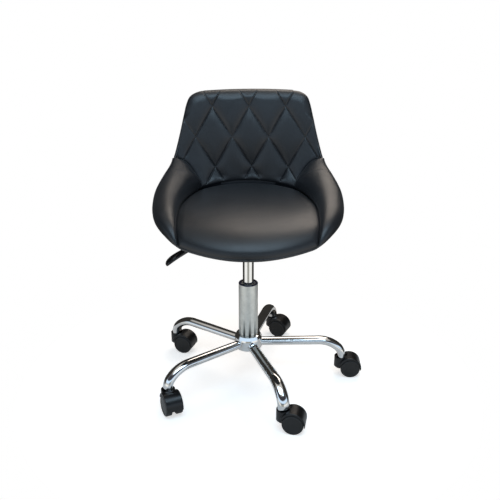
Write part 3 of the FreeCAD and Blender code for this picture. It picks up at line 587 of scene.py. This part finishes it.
class Graph:
    """Adds nodes to one node tree; a value is a number, a colour or another socket."""

    def __init__(self, tree):
        self.tree = tree

    def fill(self, socket, value):
        if isinstance(value, tuple):
            socket.default_value = (*value, 1.0)
        elif isinstance(value, (int, float)):
            socket.default_value = value
        else:
            self.tree.links.new(value, socket)

    def math(self, operation, *values):
        node = self.tree.nodes.new("ShaderNodeMath")
        node.operation = operation
        for socket, value in zip(node.inputs, values):
            self.fill(socket, value)
        return node.outputs[0]

    def remap(self, value, low, high, to_low=0.0, to_high=1.0, shape="LINEAR"):
        node = self.tree.nodes.new("ShaderNodeMapRange")
        node.interpolation_type = shape
        limits = (("From Min", low), ("From Max", high), ("To Min", to_low), ("To Max", to_high))
        for name, limit in limits:
            node.inputs[name].default_value = limit
        self.fill(node.inputs["Value"], value)
        return node.outputs["Result"]

    def step(self, value, low, high):
        return self.remap(value, low, high, shape="SMOOTHSTEP")

    def mix(self, factor, first, second):
        node = self.tree.nodes.new("ShaderNodeMix")
        node.data_type = "RGBA"
        self.fill(node.inputs["Factor"], factor)
        self.fill(node.inputs["A"], first)
        self.fill(node.inputs["B"], second)
        return node.outputs["Result"]

    def camera_ray(self):
        return self.tree.nodes.new("ShaderNodeLightPath").outputs["Is Camera Ray"]


class Surface(Graph):
    """One node material on the object's own coordinates."""

    def __init__(self, name):
        self.material = bpy.data.materials.new(name)
        self.material.use_nodes = True
        super().__init__(self.material.node_tree)
        self.shader = self.tree.nodes["Principled BSDF"]
        self.coords = self.tree.nodes.new("ShaderNodeTexCoord").outputs["Object"]

    def set(self, **values):
        for name, value in values.items():
            self.shader.inputs[name.replace("_", " ")].default_value = value

    def noise(self, scale, detail=4.0, rough=0.5, source=None):
        node = self.tree.nodes.new("ShaderNodeTexNoise")
        node.inputs["Scale"].default_value = scale
        node.inputs["Detail"].default_value = detail
        node.inputs["Roughness"].default_value = rough
        self.fill(node.inputs["Vector"], source or self.coords)
        return node.outputs["Fac"]

    def cells(self, scale):
        """Distance to the nearest edge of a cell pattern."""
        node = self.tree.nodes.new("ShaderNodeTexVoronoi")
        node.feature = "DISTANCE_TO_EDGE"
        node.inputs["Scale"].default_value = scale
        self.fill(node.inputs["Vector"], self.coords)
        return node.outputs["Distance"]

    def stretch(self, x, y, z):
        node = self.tree.nodes.new("ShaderNodeMapping")
        node.inputs["Scale"].default_value = (x, y, z)
        self.fill(node.inputs["Vector"], self.coords)
        return node.outputs["Vector"]

    def axis_distance(self):
        """How far a point is from the upright axis."""
        flat = self.tree.nodes.new("ShaderNodeVectorMath")
        flat.operation = "MULTIPLY"
        flat.inputs[1].default_value = (1, 1, 0)
        self.fill(flat.inputs[0], self.coords)
        length = self.tree.nodes.new("ShaderNodeVectorMath")
        length.operation = "LENGTH"
        self.fill(length.inputs[0], flat.outputs[0])
        return length.outputs["Value"]

    def colour(self, value):
        self.fill(self.shader.inputs["Base Color"], value)

    def rough(self, value):
        self.fill(self.shader.inputs["Roughness"], value)

    def bump(self, height, distance, strength=1.0, after=None):
        node = self.tree.nodes.new("ShaderNodeBump")
        node.inputs["Distance"].default_value = distance
        node.inputs["Strength"].default_value = strength
        self.fill(node.inputs["Height"], height)
        if after is not None:
            self.fill(node.inputs["Normal"], after)
        return node.outputs["Normal"]

    def normal(self, value):
        self.fill(self.shader.inputs["Normal"], value)


def leather():
    """Black coated leather: fine cells, soft creases, slight shade and gloss changes."""
    n = Surface("black_leather")
    n.set(IOR=1.5, Coat_Weight=0.12, Coat_Roughness=0.32, Sheen_Weight=0.04, Sheen_Roughness=0.5)
    cells = n.remap(n.cells(760), 0.0, 0.22)
    pores = n.noise(2600, 2.0)
    creases = n.noise(95, 5.0, 0.6)
    shade = n.noise(14, 3.0)
    n.colour(n.mix(n.remap(shade, 0.3, 0.7), (0.0055, 0.0064, 0.0082), (0.009, 0.0104, 0.013)))
    worn = n.remap(creases, 0.3, 0.7, -0.02, 0.03)
    n.rough(n.math("ADD", n.remap(shade, 0.25, 0.75, 0.36, 0.44), worn))
    grain = n.bump(n.math("ADD", cells, n.math("MULTIPLY", pores, 0.35)), 0.00007, 0.55)
    n.normal(n.bump(creases, 0.0006, 0.25, grain))
    return n.material


def chrome():
    """Bright plating with faint smears and a slightly uneven tube under it."""
    n = Surface("bright_chrome")
    n.set(Metallic=1.0)
    smears = n.noise(26, 4.0, 0.6)
    n.colour(n.mix(n.remap(smears, 0.35, 0.7), (0.80, 0.80, 0.79), (0.90, 0.90, 0.90)))
    n.rough(n.remap(smears, 0.3, 0.75, 0.035, 0.09))
    n.normal(n.bump(n.noise(9, 2.0), 0.0006, 0.35))
    return n.material


# The column's painted flute shade is full at FLUTE_FLOOR_R and gone at FLUTE_TOP_R.
FLUTE_FLOOR_R = 0.0215     # metres from the column's axis
FLUTE_TOP_R = 0.0246


def satin_tube():
    """Pale satin column: fine drawn lines and mottling, with painted shade down in the flutes."""
    n = Surface("satin_tube")
    n.set(Metallic=0.85)
    flute_shade_fade = n.remap(n.axis_distance(), FLUTE_FLOOR_R, FLUTE_TOP_R)
    drawn = n.noise(1.0, 4.0, 0.6, n.stretch(520, 520, 22))
    mottle = n.noise(75, 5.0, 0.65)
    bright = n.mix(n.remap(mottle, 0.3, 0.7), (0.72, 0.72, 0.67), (0.88, 0.88, 0.83))
    # Painted shade: the dark colour fills the flute floors, where less light would reach.
    n.colour(n.mix(flute_shade_fade, (0.10, 0.10, 0.09), bright))
    n.rough(n.remap(mottle, 0.25, 0.75, 0.34, 0.5))
    n.normal(n.bump(n.math("ADD", drawn, mottle), 0.00012, 0.5))
    return n.material


# Moulded plastics and alike: darkest and lightest colour, lowest and highest
# roughness, how fine the grain is and how deep, in metres.
PLASTICS = {
    "liner_plastic": ((0.42, 0.42, 0.40), (0.55, 0.55, 0.52), 0.25, 0.40, 900, 0.00003),
    "guide_plastic": ((0.010, 0.010, 0.055), (0.020, 0.020, 0.095), 0.22, 0.34, 900, 0.00003),
    "hood_plastic": ((0.003, 0.003, 0.0035), (0.006, 0.006, 0.007), 0.26, 0.38, 1500, 0.00006),
    "wheel_nylon": ((0.004, 0.004, 0.004), (0.009, 0.009, 0.009), 0.30, 0.44, 1100, 0.00006),
    "socket_plastic": ((0.015, 0.015, 0.015), (0.03, 0.03, 0.03), 0.40, 0.55, 1200, 0.00005),
    "bumper_rubber": ((0.02, 0.02, 0.02), (0.035, 0.035, 0.034), 0.60, 0.80, 800, 0.00008),
    "black_plate": ((0.012, 0.012, 0.012), (0.024, 0.024, 0.025), 0.28, 0.42, 420, 0.00012),
    "grip_plastic": ((0.004, 0.004, 0.0045), (0.008, 0.008, 0.009), 0.16, 0.26, 700, 0.00003),
    "thread": ((0.012, 0.013, 0.015), (0.03, 0.031, 0.034), 0.50, 0.65, 3000, 0.00004),
}


def plastic(name, dark, light, rough_low, rough_high, grain, depth):
    """Moulded plastic: a fine spark-eroded grain, scuffs and shade changes."""
    n = Surface(name)
    patches = n.noise(38, 4.0, 0.6)
    n.colour(n.mix(n.remap(patches, 0.3, 0.7), dark, light))
    n.rough(n.remap(patches, 0.3, 0.7, rough_low, rough_high))
    n.normal(n.bump(n.noise(grain, 3.0, 0.6), depth, 0.5))
    return n.material


def steel():
    """Zinc-plated steel of the parts inside and underneath."""
    n = Surface("plain_steel")
    n.set(Metallic=1.0)
    zinc = n.noise(160, 5.0, 0.6)
    n.colour(n.mix(n.remap(zinc, 0.3, 0.7), (0.40, 0.40, 0.41), (0.58, 0.58, 0.60)))
    n.rough(n.remap(zinc, 0.3, 0.7, 0.25, 0.42))
    n.normal(n.bump(zinc, 0.0001, 0.4))
    return n.material


def plywood():
    """Dark-dyed moulded plywood."""
    n = Surface("shell_plywood")
    rings = n.noise(1.0, 5.0, 0.6, n.stretch(30, 4, 30))
    n.colour(n.mix(n.remap(rings, 0.3, 0.7), (0.018, 0.014, 0.011), (0.034, 0.027, 0.021)))
    n.rough(n.remap(rings, 0.3, 0.7, 0.55, 0.75))
    n.normal(n.bump(rings, 0.0004, 0.4))
    return n.material


def make_materials():
    """Every material, by its slot's name."""
    made = {
        "black_leather": leather(),
        "bright_chrome": chrome(),
        "satin_tube": satin_tube(),
        "plain_steel": steel(),
        "shell_plywood": plywood(),
    }
    for name, look in PLASTICS.items():
        made[name] = plastic(name, *look)
    return made


def dress_frame(materials):
    """Every CAD node that stays visible gets its slot's procedural material."""
    slots = {s["node"]: s["material_slot"] for s in frame["record"]["subparts"]}
    for name, node in frame["nodes"].items():
        for slot in node.material_slots:
            slot.material = materials[slots[name]]
        if not node.material_slots:
            node.data.materials.append(materials[slots[name]])


# ---------------------------------------------------------------- stage

FLOOR_RADIUS = 0.6
FLOOR_SIDES = 96
FLOOR_GLOW = 0.62          # what the eye sees
FLOOR_GLOW_REFLECTED = 0.16
FLOOR_GREY_REFLECTED = (0.55, 0.55, 0.55)


def make_stage():
    """A pale round floor that runs into the white surroundings, darker in reflections."""
    ring = [
        (FLOOR_RADIUS * math.cos(a), FLOOR_RADIUS * math.sin(a), 0.0)
        for a in np.linspace(0, 2 * math.pi, FLOOR_SIDES + 1)[:-1]
    ]
    mesh = bpy.data.meshes.new("floor")
    mesh.from_pydata(ring, [], [tuple(range(FLOOR_SIDES))])
    floor = bpy.data.objects.new("floor", mesh)
    bpy.context.scene.collection.objects.link(floor)
    n = Surface("pale_floor")
    n.set(Roughness=0.7, Specular_IOR_Level=0.1, Emission_Color=(1, 1, 1, 1))
    seen = n.camera_ray()
    pale = n.mix(n.remap(n.noise(0.8, 2.0), 0.3, 0.7), (0.80, 0.775, 0.75), (0.82, 0.795, 0.77))
    n.colour(n.mix(seen, FLOOR_GREY_REFLECTED, pale))
    glow = n.remap(seen, 0.0, 1.0, FLOOR_GLOW_REFLECTED, FLOOR_GLOW)
    n.fill(n.shader.inputs["Emission Strength"], glow)
    mesh.materials.append(n.material)


def area_light(name, place, target, size, radiance, tint):
    """A rectangular lamp facing `target`; its brightness doesn't depend on its size."""
    data = bpy.data.lights.new(name, "AREA")
    data.shape = "RECTANGLE"
    data.size, data.size_y = size
    data.energy = radiance * math.pi * size[0] * size[1]
    data.color = tint
    lamp = bpy.data.objects.new(name, data)
    lamp.location = place
    direction = Vector(target) - Vector(place)
    lamp.rotation_euler = direction.to_track_quat("-Z", "Y").to_euler()
    bpy.context.scene.collection.objects.link(lamp)


# What reflections see of the studio.
BACK_WALL = (0.035, 0.033, 0.03)
FRONT_MIDDLE_LOW = (0.36, 0.36, 0.33)
FRONT_MIDDLE = (0.10, 0.12, 0.14)
PANELS_LOW = (1.0, 1.0, 0.97)
PANELS = (0.55, 0.58, 0.60)
SKY_BAND = (0.74, 0.93, 1.15)
OVER_THE_BAND = (0.05, 0.05, 0.06)
CEILING = (0.55, 0.53, 0.50)


def studio_colour(w):
    """A dark wall behind; in front two bright panels, a cool band and a dark gap over it."""
    coords = w.tree.nodes.new("ShaderNodeTexCoord")
    split = w.tree.nodes.new("ShaderNodeSeparateXYZ")
    w.fill(split.inputs[0], coords.outputs["Generated"])
    x, y, z = split.outputs
    level = w.math("SQRT", w.math("ADD", w.math("MULTIPLY", x, x), w.math("MULTIPLY", y, y)))
    ahead = w.math("DIVIDE", w.math("MULTIPLY", y, -1.0), w.math("MAXIMUM", level, 0.01))
    front = w.step(ahead, 0.0, 0.3)
    beside = w.math("SUBTRACT", 1.0, w.step(ahead, 0.90, 0.97))
    above = w.step(z, -0.06, 0.04)
    band = w.math("SUBTRACT", w.step(z, 0.06, 0.18), w.step(z, 0.34, 0.46))
    over = w.step(z, 0.36, 0.46)
    colour = w.mix(front, BACK_WALL, w.mix(above, FRONT_MIDDLE_LOW, FRONT_MIDDLE))
    colour = w.mix(w.math("MULTIPLY", front, beside), colour, w.mix(above, PANELS_LOW, PANELS))
    colour = w.mix(w.math("MULTIPLY", band, front), colour, SKY_BAND)
    colour = w.mix(w.math("MULTIPLY", over, front), colour, OVER_THE_BAND)
    return w.mix(w.step(z, 0.74, 0.84), colour, CEILING)


def make_world():
    """White to the eye, the studio to reflections."""
    world = bpy.data.worlds.new("studio")
    bpy.context.scene.world = world
    world.use_nodes = True
    w = Graph(world.node_tree)
    studio = w.tree.nodes["Background"]
    w.fill(studio.inputs["Color"], studio_colour(w))
    plain = w.tree.nodes.new("ShaderNodeBackground")
    w.fill(plain.inputs["Color"], (1, 1, 1))
    mixer = w.tree.nodes.new("ShaderNodeMixShader")
    w.fill(mixer.inputs["Fac"], w.camera_ray())
    w.fill(mixer.inputs[1], studio.outputs[0])
    w.fill(mixer.inputs[2], plain.outputs[0])
    w.fill(w.tree.nodes["World Output"].inputs["Surface"], mixer.outputs[0])


def make_lights():
    """A warm lamp over the seat's rear and a cool one over its front."""
    seat = (0, -0.1, 0.45)
    area_light("top_soft", (0.45, 1.2, 2.0), seat, (1.4, 1.3), 3.0, (1.0, 0.89, 0.79))
    area_light("front_soft", (0.1, -1.0, 2.4), (0, -0.1, 0.5), (2.4, 1.1), 3.8, (0.55, 0.79, 1.0))


CAMERA_X, CAMERA_Y = 0.0044, -1.511
CAMERA_OVER_SEAT = 0.543  # metres above the seat's underside
CAMERA_PITCH = 21.43      # degrees below level
LENS = 46.62
SENSOR = 36.0


def make_camera():
    """The camera, in front of the stool and looking down on the seat."""
    data = bpy.data.cameras.new("camera")
    data.sensor_width = SENSOR
    data.lens = LENS
    camera = bpy.data.objects.new("camera", data)
    camera.location = (CAMERA_X, CAMERA_Y, SEAT_FLOOR * MM + CAMERA_OVER_SEAT)
    camera.rotation_euler = (math.radians(90 - CAMERA_PITCH), 0, 0)
    bpy.context.scene.collection.objects.link(camera)
    bpy.context.scene.camera = camera


# ---------------------------------------------------------------- putting it together

def upholster(materials):
    """The soft pieces, the shell and the threads, each on the seat's body."""
    back, stitches = make_back_pad()
    cover, shell = make_outer_cover()
    pieces = (
        (make_seat_pad(), ("seat_cushion",), 0.7),
        (back, ("back_cushion",), 0.75),
        (make_bolster(-1, "left_bolster"), ("bolster_left",), 0.8),
        (make_bolster(1, "right_bolster"), ("bolster_right",), 0.8),
        (cover, ("outer_cover",), None),
    )
    for piece, nodes, fill in pieces:
        piece.data.materials.append(materials["black_leather"])
        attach(piece, "seat")
        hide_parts(*nodes)
    shell.data.materials.append(materials["shell_plywood"])
    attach(shell, "seat")
    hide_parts("seat_shell")
    stitches.data.materials.append(materials["thread"])
    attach(stitches, "seat")


make_camera()
make_stage()
make_world()
make_lights()
bpy.context.scene.view_settings.view_transform = "Standard"
materials = make_materials()
dress_frame(materials)
upholster(materials)
